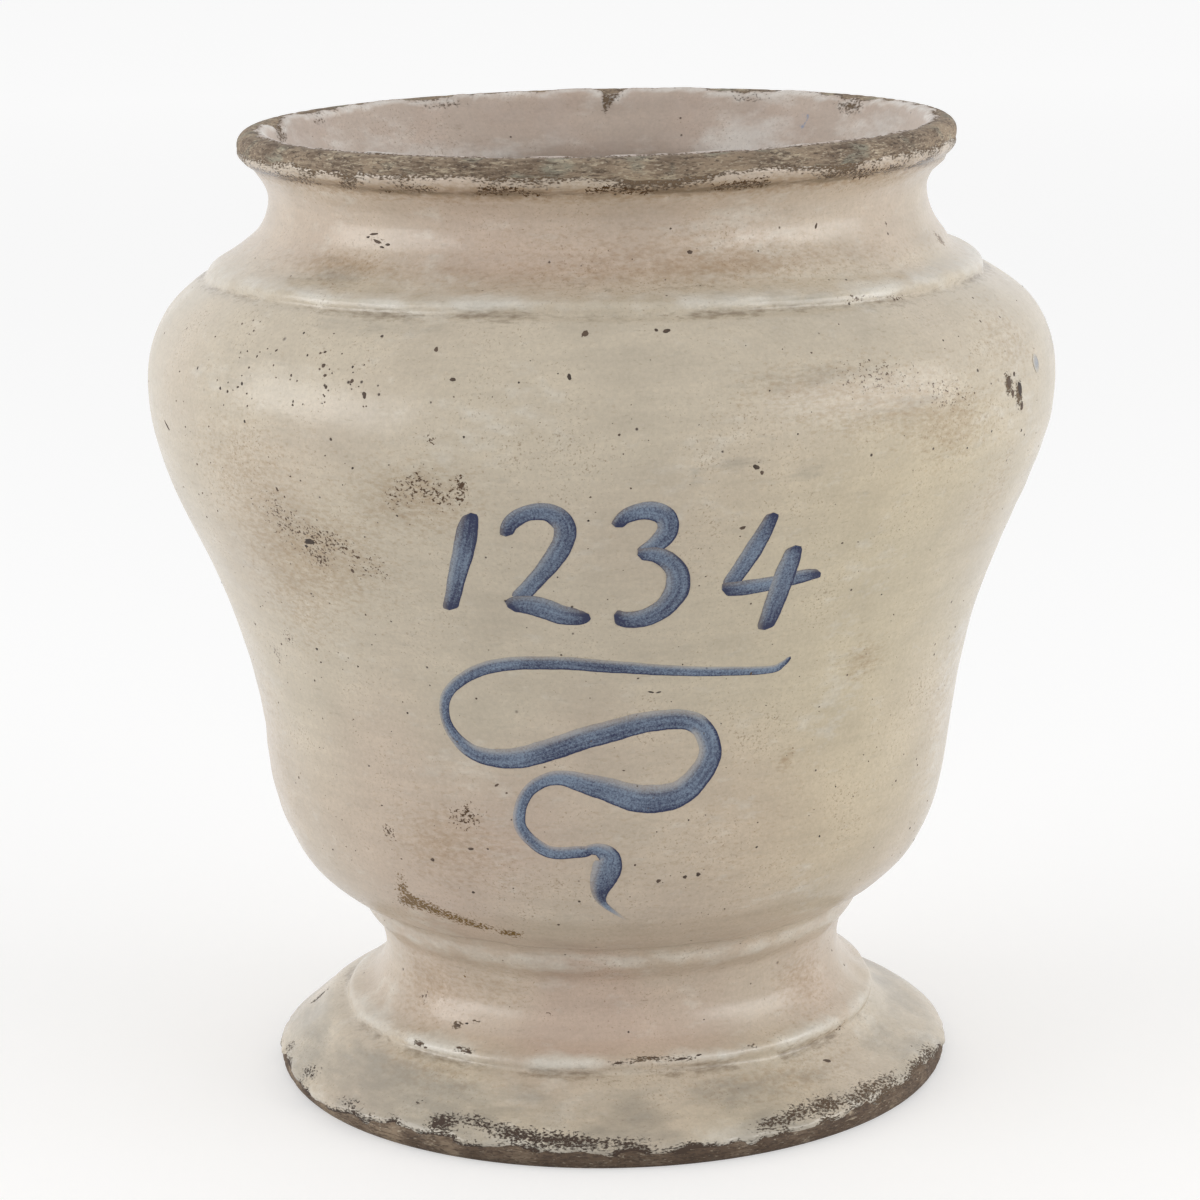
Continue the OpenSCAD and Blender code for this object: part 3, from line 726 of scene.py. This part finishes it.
def flaws():
    """Pinholes and chips where dark clay shows: each an irregular oval, whose radius is a sum of three
    cosines, with a centre, a middle ring just above the glaze and an outer ring just under it, closed by a
    point below."""
    rows = np.concatenate([np.array(SEEN_FLAWS, float), chance_flaws()])
    count = len(rows)
    rng = np.random.default_rng(89)
    turn = np.linspace(0, TURN, FLAW_SEGMENTS, endpoint=False)[None, :]
    shape = 1 + sum(rng.uniform(0.05, 0.24, (count, 1)) / k**0.5
                    * np.cos(k * turn + rng.uniform(0, 6.3, (count, 1))) for k in (2, 3, 5))
    u, v = shape * np.cos(turn) * rows[:, 2:3] * 0.4, shape * np.sin(turn) * rows[:, 3:4] * 0.4
    lean = np.radians(rows[:, 4:5])
    u, v = u * np.cos(lean) - v * np.sin(lean), u * np.sin(lean) + v * np.cos(lean)
    ring_sizes = [1, FLAW_SEGMENTS, FLAW_SEGMENTS, 1]
    share = np.repeat([0.0, 0.78, 1.0, 0.0], ring_sizes)[None, :]
    lift = np.repeat([0.03, 0.028, -0.03, -0.15], ring_sizes)[None, :]
    one = np.zeros((count, 1))
    across, climb = (share * np.concatenate([one, part, part, one], 1) for part in (u, v))
    rising = outside[(outside[:, 2] > 4) & (outside[:, 0] < length_at(134))]
    s = np.interp(rows[:, 1:2], np.maximum.accumulate(rising[:, 2]), rising[:, 0]) + climb
    az = np.radians(rows[:, :1]) + across / along(outside, s, 1)
    points = skin(outside, az, s, GLAZE_T + lift)
    size = sum(ring_sizes)
    j = np.arange(FLAW_SEGMENTS)
    k = (j + 1) % FLAW_SEGMENTS
    inner, outer, below = 1, 1 + FLAW_SEGMENTS, 1 + 2 * FLAW_SEGMENTS
    fan = np.stack([0 * j, inner + j, inner + k], 1)
    bottom = np.stack([0 * j + below, outer + k, outer + j], 1)
    ring = np.stack([inner + j, outer + j, outer + k, inner + k], 1)
    first = size * np.arange(count)[:, None, None]
    faces = sum(((part + first).reshape(-1, part.shape[1]).tolist() for part in (fan, bottom, ring)), [])
    shade = np.repeat(triple(rng.random(count), 0.0, 0.0)[:, None], size, axis=1)
    return mesh_piece("glaze_pinholes", points.reshape(-1, 3), faces, {"shade": shade.reshape(-1, 3)},
                      body_slot="earthenware")


outer_glaze = outer_coat()
inner_glaze = inner_coat()
jar_clay = clay_body()
foot_clay = clay_foot()
slip = slip_bed()
numerals = brushed("brushed_numerals", NUMERALS, 0.25)
flourish = brushed("brushed_flourish", FLOURISH, 0.55)
pinholes = flaws()


def linear(code):
    """Linear colour from an sRGB hex code."""
    channels = [int(code[k:k + 2], 16) / 255 for k in (1, 3, 5)]
    return (*[c / 12.92 if c <= 0.04045 else ((c + 0.055) / 1.055) ** 2.4 for c in channels], 1.0)


def per_mm(size):
    """Texture scale in metres for a pattern of that size in millimetres."""
    return 1 / (size * MM)


def add(tree, kind, links=(), **settings):
    """Adds a shader node. Links give its inputs, by name or number, a value, another node's output, or
    another node, which stands for the first output that it has in use."""
    node = tree.nodes.new("ShaderNode" + kind)
    for name, value in settings.items():
        setattr(node, name, value)
    for key, value in dict(links).items():
        if isinstance(value, bpy.types.Node):
            value = next(output for output in value.outputs if output.enabled)
        if isinstance(value, bpy.types.NodeSocket):
            tree.links.new(value, node.inputs[key])
        else:
            node.inputs[key].default_value = value
    return node


def new_material(name):
    """Empty node material with its output, and the object coordinates that its patterns use."""
    material = bpy.data.materials.new(name)
    material.use_nodes = True
    tree = material.node_tree
    tree.nodes.clear()
    return material, tree, add(tree, "TexCoord").outputs["Object"]


def field_parts(tree, name):
    """The three parts of a point field."""
    vector = add(tree, "Attribute", attribute_name=name).outputs["Vector"]
    return add(tree, "SeparateXYZ", {0: vector}).outputs


def stained(tree, place, colour, mask, weight, size, stretch, low, high, most, tone):
    """Colour with a stain's tone over it, and the stain's share: noise of a size in mm, raised where the mask
    is strong, cut off between low and high."""
    turned = add(tree, "Mapping", {"Vector": place, "Scale": stretch})
    noise = add(tree, "TexNoise", {"Vector": turned, "Scale": per_mm(size), "Detail": 5.0,
                                   "Roughness": 0.62})
    raised = add(tree, "Math", {0: mask, 1: weight, 2: noise}, operation="MULTIPLY_ADD")
    share = add(tree, "MapRange", {0: raised, 1: low, 2: high, 3: 0.0, 4: most})
    return add(tree, "Mix", {0: share, 6: colour, 7: tone}, data_type="RGBA"), share


def pinhole_share(tree, place, density, cell, least, widest):
    """Share of dark pinholes: a dot in the middle of some cells of that size in mm, the more the denser."""
    cells = add(tree, "TexVoronoi", {"Vector": place, "Scale": per_mm(cell)})
    chance = add(tree, "SeparateColor", {0: cells.outputs["Color"]})
    raised = add(tree, "Math", {0: density, 1: 0.3, 2: chance}, operation="MULTIPLY_ADD")
    dot = add(tree, "MapRange", {0: raised, 1: least, 2: 1.0, 3: 0.0, 4: widest})
    inside_dot = add(tree, "Math", {0: dot, 1: cells.outputs["Distance"]}, operation="SUBTRACT")
    return add(tree, "Math", {0: inside_dot, 1: 18.0}, operation="MULTIPLY", use_clamp=True)


def glaze_look(tree, place, cream, pink, thick_and_highlit, stains):
    """Colour, worn share and height of a tin glaze. The colour drifts from cream to pink, to yellow and to
    the paler tone of thicker glaze and painted highlight, clouds over, is wiped in level streaks and peppered
    with fine specks, and takes dirt, painted shade in creases and stains where the point fields put them."""
    dirt, stain, pits, rub = (field_parts(tree, name) for name in ("dirt", "stain", "pits", "rub"))
    masks = {"rub": rub[0], "smear": stain[0], "crease": dirt[0], "grime": dirt[1], "spot": stain[1],
             "worn": dirt[2]}
    colour = add(tree, "Mix", {0: stain[2], 6: linear(cream), 7: linear(pink)}, data_type="RGBA")
    colour = add(tree, "Mix", {0: rub[2], 6: colour, 7: linear("#c9bb9a")}, data_type="RGBA")
    # Paler tone of thicker glaze, with painted highlight on the ridges and painted reflections inside.
    colour, _ = stained(tree, place, colour, rub[1], 0.5, 2.4, (0.6, 0.6, 1.4), 0.6, 1.0, 0.9,
                        linear(thick_and_highlit))
    level = add(tree, "Mapping", {"Vector": place, "Scale": (0.12, 0.12, 1.0)})
    clouds, wiped, grain = (
        add(tree, "TexNoise", {"Vector": way, "Scale": per_mm(size), "Detail": detail, "Roughness": rough})
        for way, size, detail, rough in ((place, 11, 6.0, 0.6), (level, 1.8, 4.0, 0.6),
                                         (place, 0.6, 4.0, 0.75)))
    value = 1.0
    for pattern, swing in ((clouds, 0.08), (wiped, 0.05), (grain, 0.08)):
        shade = add(tree, "MapRange", {0: pattern, 1: 0.3, 2: 0.7, 3: 1 - swing, 4: 1 + swing})
        value = add(tree, "Math", {0: value, 1: shade}, operation="MULTIPLY")
    colour = add(tree, "HueSaturation", {"Value": value, "Color": colour})
    colour, _ = stained(tree, place, colour, clouds, 0.4, 0.34, (1, 1, 1), 0.81, 0.92, 0.6,
                        linear("#877056"))
    shares = {}
    for name, *cut, tone in stains:
        tone = linear(tone)
        # Near the foot the worn tone darkens: partly painted shade.
        if name == "worn":
            tone = add(tree, "Mix", {0: pits[1], 6: tone, 7: linear("#423329")}, data_type="RGBA")
        colour, shares[name] = stained(tree, place, colour, masks[name], *cut, tone)
    holes = [pinhole_share(tree, place, pits[0], *cut) for cut in ((2.2, 0.72, 0.12), (6.0, 0.80, 0.07))]
    specks = add(tree, "Math", {0: holes[0], 1: holes[1]}, operation="MAXIMUM")
    colour = add(tree, "Mix", {0: specks, 6: colour, 7: linear("#4a3b30")}, data_type="RGBA")
    peel = add(tree, "TexNoise", {"Vector": place, "Scale": per_mm(2.6), "Detail": 2.0})
    peel = add(tree, "Math", {0: grain, 1: 0.3, 2: peel}, operation="MULTIPLY_ADD")
    sunk = add(tree, "Math", {0: shares["worn"], 1: specks}, operation="ADD")
    height = add(tree, "Math", {0: sunk, 1: -1.4, 2: peel}, operation="MULTIPLY_ADD")
    return colour, shares["worn"], height


def finish(tree, colour, roughness, height=None, relief=0.1):
    """Surface of fired clay or glaze, with a relief in millimetres where a height is given."""
    inputs = {"Base Color": colour, "Roughness": roughness, "IOR": 1.5}
    if height:
        inputs["Normal"] = add(tree, "Bump", {"Height": height, "Distance": relief * MM, "Strength": 1.0})
    add(tree, "OutputMaterial", {"Surface": add(tree, "BsdfPrincipled", inputs)})


def finish_glaze(tree, colour, worn, height, roughness):
    """Glossy surface of a glaze: smooth where whole, matt where worn through, with a slight orange peel."""
    rough = add(tree, "MapRange", {0: worn, 1: 0.0, 2: 1.0, 3: roughness, 4: 0.8})
    finish(tree, colour, rough, height, 0.08)


# Roughness of the whole glaze outside and inside
GLOSS, INNER_GLOSS = 0.24, 0.34
# Tones of a glaze: thin and cream, thin and pink, and the paler tone of thicker glaze and painted highlight
OUTER_TONES, INNER_TONES = ("#c7bba7", "#c3af9e", "#d9d3c7"), ("#bdafa2", "#bca899", "#d8d1c9")
# Stains of the glaze: field, its weight, noise size in mm, stretch, cut-off from and to, most, colour
OUTER_STAINS = [("rub", 0.36, 0.7, (0.6, 0.6, 1.3), 0.6, 0.98, 0.55, "#94744a"),
                ("smear", 0.6, 2.4, (0.5, 0.5, 2.4), 0.6, 1.1, 0.6, "#8f897e"),
                # The crease stain is dirt and partly painted shade.
                ("crease", 0.5, 0.9, (0.5, 0.5, 2.2), 0.62, 1.0, 0.75, "#77664f"),
                ("grime", 0.36, 0.46, (1, 1, 1.2), 0.8, 0.85, 1.0, "#4a3010"),
                ("spot", 0.5, 0.42, (1, 1, 1.2), 0.76, 0.82, 1.0, "#6b4c05"),
                ("worn", 0.5, 0.42, (0.8, 0.8, 1.8), 0.78, 0.88, 1.0, "#6b5843")]
INNER_STAINS = [("rub", 0.4, 1.2, (1, 1, 1.5), 0.62, 0.98, 0.5, "#a08a7c"),
                ("smear", 0.5, 6.0, (1, 1, 1.5), 0.6, 1.0, 0.4, "#c9bfb7"),
                ("crease", 0.5, 2.0, (1, 1, 2.0), 0.66, 0.98, 0.6, "#8d7a6a"),
                ("grime", 0.36, 2.2, (1, 1, 2.0), 0.70, 0.95, 0.5, "#93806f"),
                ("spot", 0.6, 0.8, (1, 1, 1), 0.7, 0.95, 0.85, "#6d88ad"),
                ("worn", 0.45, 0.5, (1, 1, 1.5), 0.76, 0.9, 1.0, "#6a5844")]
# Layers over bare clay, the same way, with the part of the clay's field in place of its name
CLAY_LAYERS = [(2, 0.4, 2.0, (0.7, 0.7, 2), 0.6, 0.9, 0.6, "#8d8f80"),
               (0, 0.25, 1.1, (0.35, 0.35, 2), 0.54, 0.72, 0.8, "#5a4838"),
               (1, 0.35, 0.7, (0.3, 0.3, 1.8), 0.64, 0.78, 0.85, "#b9aa92"),
               (1, 0.15, 0.4, (0.5, 0.5, 1.6), 0.6, 0.74, 0.7, "#cbbfa9"),
               (0, 0.1, 0.42, (0.5, 0.5, 1.6), 0.56, 0.68, 0.85, "#43352a")]


def outer_glaze_look(tree, place):
    """White tin glaze, dipped and fired: opaque cream with a soft gloss, pinholes and old dirt."""
    finish_glaze(tree, *glaze_look(tree, place, *OUTER_TONES, OUTER_STAINS), GLOSS)


def inner_glaze_look(tree, place):
    """White tin glaze poured inside: pinkish, cloudier and thinner than outside."""
    finish_glaze(tree, *glaze_look(tree, place, *INNER_TONES, INNER_STAINS), INNER_GLOSS)


def cobalt_look(tree, place):
    """Cobalt brushed on the raw glaze and melted into it: watery blue, granular, with dark rims and ends."""
    colour, worn, height = glaze_look(tree, place, *OUTER_TONES, OUTER_STAINS)
    depth, cover, _ = field_parts(tree, "paint")
    stroke = add(tree, "Attribute", attribute_name="stroke").outputs["Vector"]
    stretched = add(tree, "Mapping", {"Vector": stroke, "Scale": (0.12, 2.0, 0.0)})
    hairs = add(tree, "TexNoise", {"Vector": stretched, "Scale": 1.0, "Detail": 4.0, "Roughness": 0.6})
    grains = add(tree, "TexNoise", {"Vector": place, "Scale": per_mm(0.28), "Detail": 3.0, "Roughness": 0.8})
    for pattern, strength in ((hairs, 0.75), (grains, 1.3)):
        swing = add(tree, "MapRange", {0: pattern, 1: 0.2, 2: 0.8, 3: -strength / 2, 4: strength / 2})
        depth = add(tree, "Math", {0: depth, 1: swing}, operation="ADD")
    blue = add(tree, "MapRange", {0: depth, 1: 0.1, 2: 1.0, 3: 0.0, 4: 1.0})
    blue = add(tree, "Mix", {0: blue, 6: linear("#8293a7"), 7: linear("#121e46")}, data_type="RGBA")
    painted = add(tree, "Mix", {0: cover, 6: colour, 7: blue}, data_type="RGBA")
    finish_glaze(tree, painted, worn, height, GLOSS)


def clay_look(tree, place):
    """Earthenware fired and worn bare: grey-brown and matt, with dark dirt, greenish bloom and flecks of old
    glaze drawn out along the lip and edge."""
    clay = field_parts(tree, "clay")
    colour = add(tree, "Mix", {0: clay[0], 6: linear("#a08d76"), 7: linear("#56463a")}, data_type="RGBA")
    for part, *cut, tone in CLAY_LAYERS:
        colour, _ = stained(tree, place, colour, clay[part], *cut, linear(tone))
    grit = add(tree, "TexNoise", {"Vector": place, "Scale": per_mm(0.9), "Detail": 6.0, "Roughness": 0.7})
    finish(tree, colour, 0.78, grit)


def slip_look(tree, place):
    """Slip of the same clay, squeezed in the joint and fired: buff, matt and a little mottled."""
    clouds = add(tree, "TexNoise", {"Vector": place, "Scale": per_mm(2), "Detail": 5.0})
    share = add(tree, "MapRange", {0: clouds, 1: 0.35, 2: 0.65, 3: 0.0, 4: 1.0})
    colour = add(tree, "Mix", {0: share, 6: linear("#b59c7c"), 7: linear("#9d8467")}, data_type="RGBA")
    finish(tree, colour, 0.8, clouds)


def pinhole_look(tree, place):
    """Clay at the bottom of pinholes and chips: dark brown to nearly black, matt."""
    shade = field_parts(tree, "shade")
    grain = add(tree, "TexNoise", {"Vector": place, "Scale": per_mm(0.5), "Detail": 3.0})
    mixed = add(tree, "Math", {0: shade[0], 1: 0.7, 2: grain}, operation="MULTIPLY_ADD")
    share = add(tree, "MapRange", {0: mixed, 1: 0.4, 2: 1.1, 3: 0.0, 4: 1.0})
    colour = add(tree, "Mix", {0: share, 6: linear("#241c18"), 7: linear("#5a493b")}, data_type="RGBA")
    finish(tree, colour, 0.7)


for name, look, pieces in (("tin_glaze_dipped_and_fired", outer_glaze_look, [outer_glaze]),
                           ("tin_glaze_poured_inside", inner_glaze_look, [inner_glaze]),
                           ("cobalt_brushed_into_glaze", cobalt_look, [numerals, flourish]),
                           ("earthenware_worn_bare", clay_look, [jar_clay, foot_clay]),
                           ("slip_squeezed_and_fired", slip_look, [slip]),
                           ("clay_in_pinholes", pinhole_look, [pinholes])):
    material, tree, place = new_material(name)
    look(tree, place)
    for piece in pieces:
        piece.data.materials.append(material)

# Studio: a pale floor, a white surround that is dimmer in front and overhead, and a soft box at each side
scene = bpy.context.scene
scene.view_settings.view_transform = "Standard"


def seen_share(tree, share):
    """A share for rays that show the background, directly or in a reflection, and 0 for other light."""
    path = add(tree, "LightPath").outputs
    seen = add(tree, "Math", {0: path["Is Camera Ray"], 1: path["Is Glossy Ray"]}, operation="MAXIMUM")
    seen = add(tree, "Math", {0: seen, 1: path["Is Transmission Ray"]}, operation="MAXIMUM")
    return add(tree, "Math", {0: seen, 1: share}, operation="MULTIPLY")


WHITE = (1, 1, 1, 1)
HALF_FLOOR = 6.0
floor_mesh = bpy.data.meshes.new("studio_floor")
floor_corners = [(x * HALF_FLOOR, y * HALF_FLOOR, 0) for x, y in ((-1, -1), (1, -1), (1, 1), (-1, 1))]
floor_mesh.from_pydata(floor_corners, [], [(0, 1, 2, 3)])
floor = bpy.data.objects.new("studio_floor", floor_mesh)
scene.collection.objects.link(floor)
paper, tree, place = new_material("white_paper_matt")
sheet = add(tree, "BsdfDiffuse", {"Color": linear("#dadada")})
from_jar = add(tree, "VectorMath", {0: place}, operation="LENGTH")
whiter = add(tree, "MapRange", {0: from_jar.outputs["Value"], 1: 0.2, 2: 1.6, 3: 0.36, 4: 0.47})
glow = add(tree, "Emission", {"Color": WHITE, "Strength": seen_share(tree, whiter)})
add(tree, "OutputMaterial", {"Surface": add(tree, "AddShader", {0: sheet, 1: glow})})
floor_mesh.materials.append(paper)

world = bpy.data.worlds.new("white_surround")
scene.world = world
world.use_nodes = True
tree = world.node_tree
tree.nodes.clear()
way = add(tree, "SeparateXYZ", {0: add(tree, "TexCoord").outputs["Generated"]}).outputs
dim_front = add(tree, "MapRange", {0: way[1], 1: -1.0, 2: 0.4, 3: 0.5, 4: 1.1})
dim_top = add(tree, "MapRange", {0: way[2], 1: 0.1, 2: 1.0, 3: 1.0, 4: 0.6})
light = add(tree, "Math", {0: dim_front, 1: dim_top}, operation="MULTIPLY")
strength = add(tree, "Mix", {0: seen_share(tree, 1.0), 2: light, 3: 1.0}, data_type="FLOAT")
surround = add(tree, "Background", {"Color": WHITE, "Strength": strength})
add(tree, "OutputWorld", {"Surface": surround})

# Soft boxes that look at the belly: distance, width and height, height aimed at in metres, power in watts
BOX_DISTANCE, BOX_SIZE, BOX_AIM, BOX_POWER = 1.0, (0.9, 0.45), 0.08, 4.1
box_lift = math.radians(16)
for name, azimuth in (("soft_box_left", -74), ("soft_box_right", 69)):
    lamp = bpy.data.lights.new(name, "AREA")
    lamp.shape, lamp.energy = "RECTANGLE", BOX_POWER
    lamp.size, lamp.size_y = BOX_SIZE
    box = bpy.data.objects.new(name, lamp)
    turn, out = math.radians(azimuth), BOX_DISTANCE * math.cos(box_lift)
    box.location = (out * math.sin(turn), -out * math.cos(turn), BOX_AIM + BOX_DISTANCE * math.sin(box_lift))
    box.rotation_euler = (math.radians(90) - box_lift, 0, turn)
    box.visible_camera = False
    scene.collection.objects.link(box)

# The camera looks down a little and is rolled a little, as the photo's was
LOOK_DOWN, CAMERA_ROLL = math.radians(13.102), math.radians(-1.1)
camera = bpy.data.objects.new("camera", bpy.data.cameras.new("camera"))
scene.collection.objects.link(camera)
camera.location = (-0.0008, -0.5272, 0.1924)
camera.rotation_mode = "ZXY"
camera.rotation_euler = (math.radians(90) - LOOK_DOWN, 0, CAMERA_ROLL)
camera.data.sensor_width = 36
camera.data.lens = 109.9
scene.camera = camera
